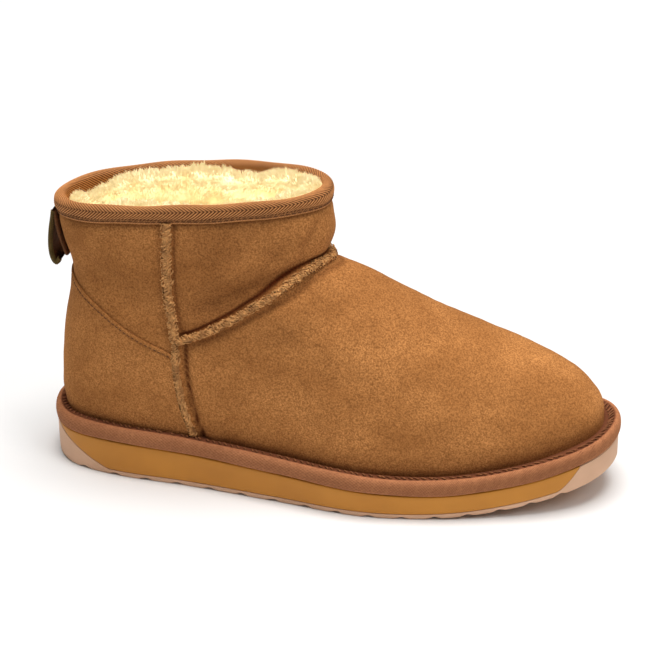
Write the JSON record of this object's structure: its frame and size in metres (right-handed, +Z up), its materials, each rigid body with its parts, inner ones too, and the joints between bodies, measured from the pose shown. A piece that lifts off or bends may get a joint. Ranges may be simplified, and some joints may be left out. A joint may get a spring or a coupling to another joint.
{
  "type": "sheepskin boot",
  "caption": "Low sheepskin boot for the right foot with taped collar, raised seams, deep fleece lining and a thick wedge sole.",
  "frame": {"origin": "on the sole's resting plane, on a tread lug at mid length, on the middle line", "axes": "+X from heel to toe, +Y towards the inner side of the foot, +Z up"},
  "size_m": [0.2698, 0.1016, 0.1426],
  "materials": {
    "outsole_rubber": "matt moulded rubber",
    "midsole_foam": "smooth moulded foam",
    "binding_twill": "herringbone twill tape",
    "insole_pile": "short pile",
    "suede": "brushed suede",
    "fleece": "deep curly pile",
    "seam_thread": "whip-stitched suede edge",
    "loop_webbing": "folded suede strap"
  },
  "bodies": {
    "root": {"outsole": "outsole_rubber", "midsole": "midsole_foam", "welt_binding": "binding_twill", "insole": "insole_pile", "upper": "suede", "fleece_lining": "fleece", "collar_binding": "binding_twill", "heel_counter": "suede", "side_seam_outer": "seam_thread", "side_seam_inner": "seam_thread", "instep_seam": "seam_thread", "pull_loop": "loop_webbing"}
  },
  "joints": []
}
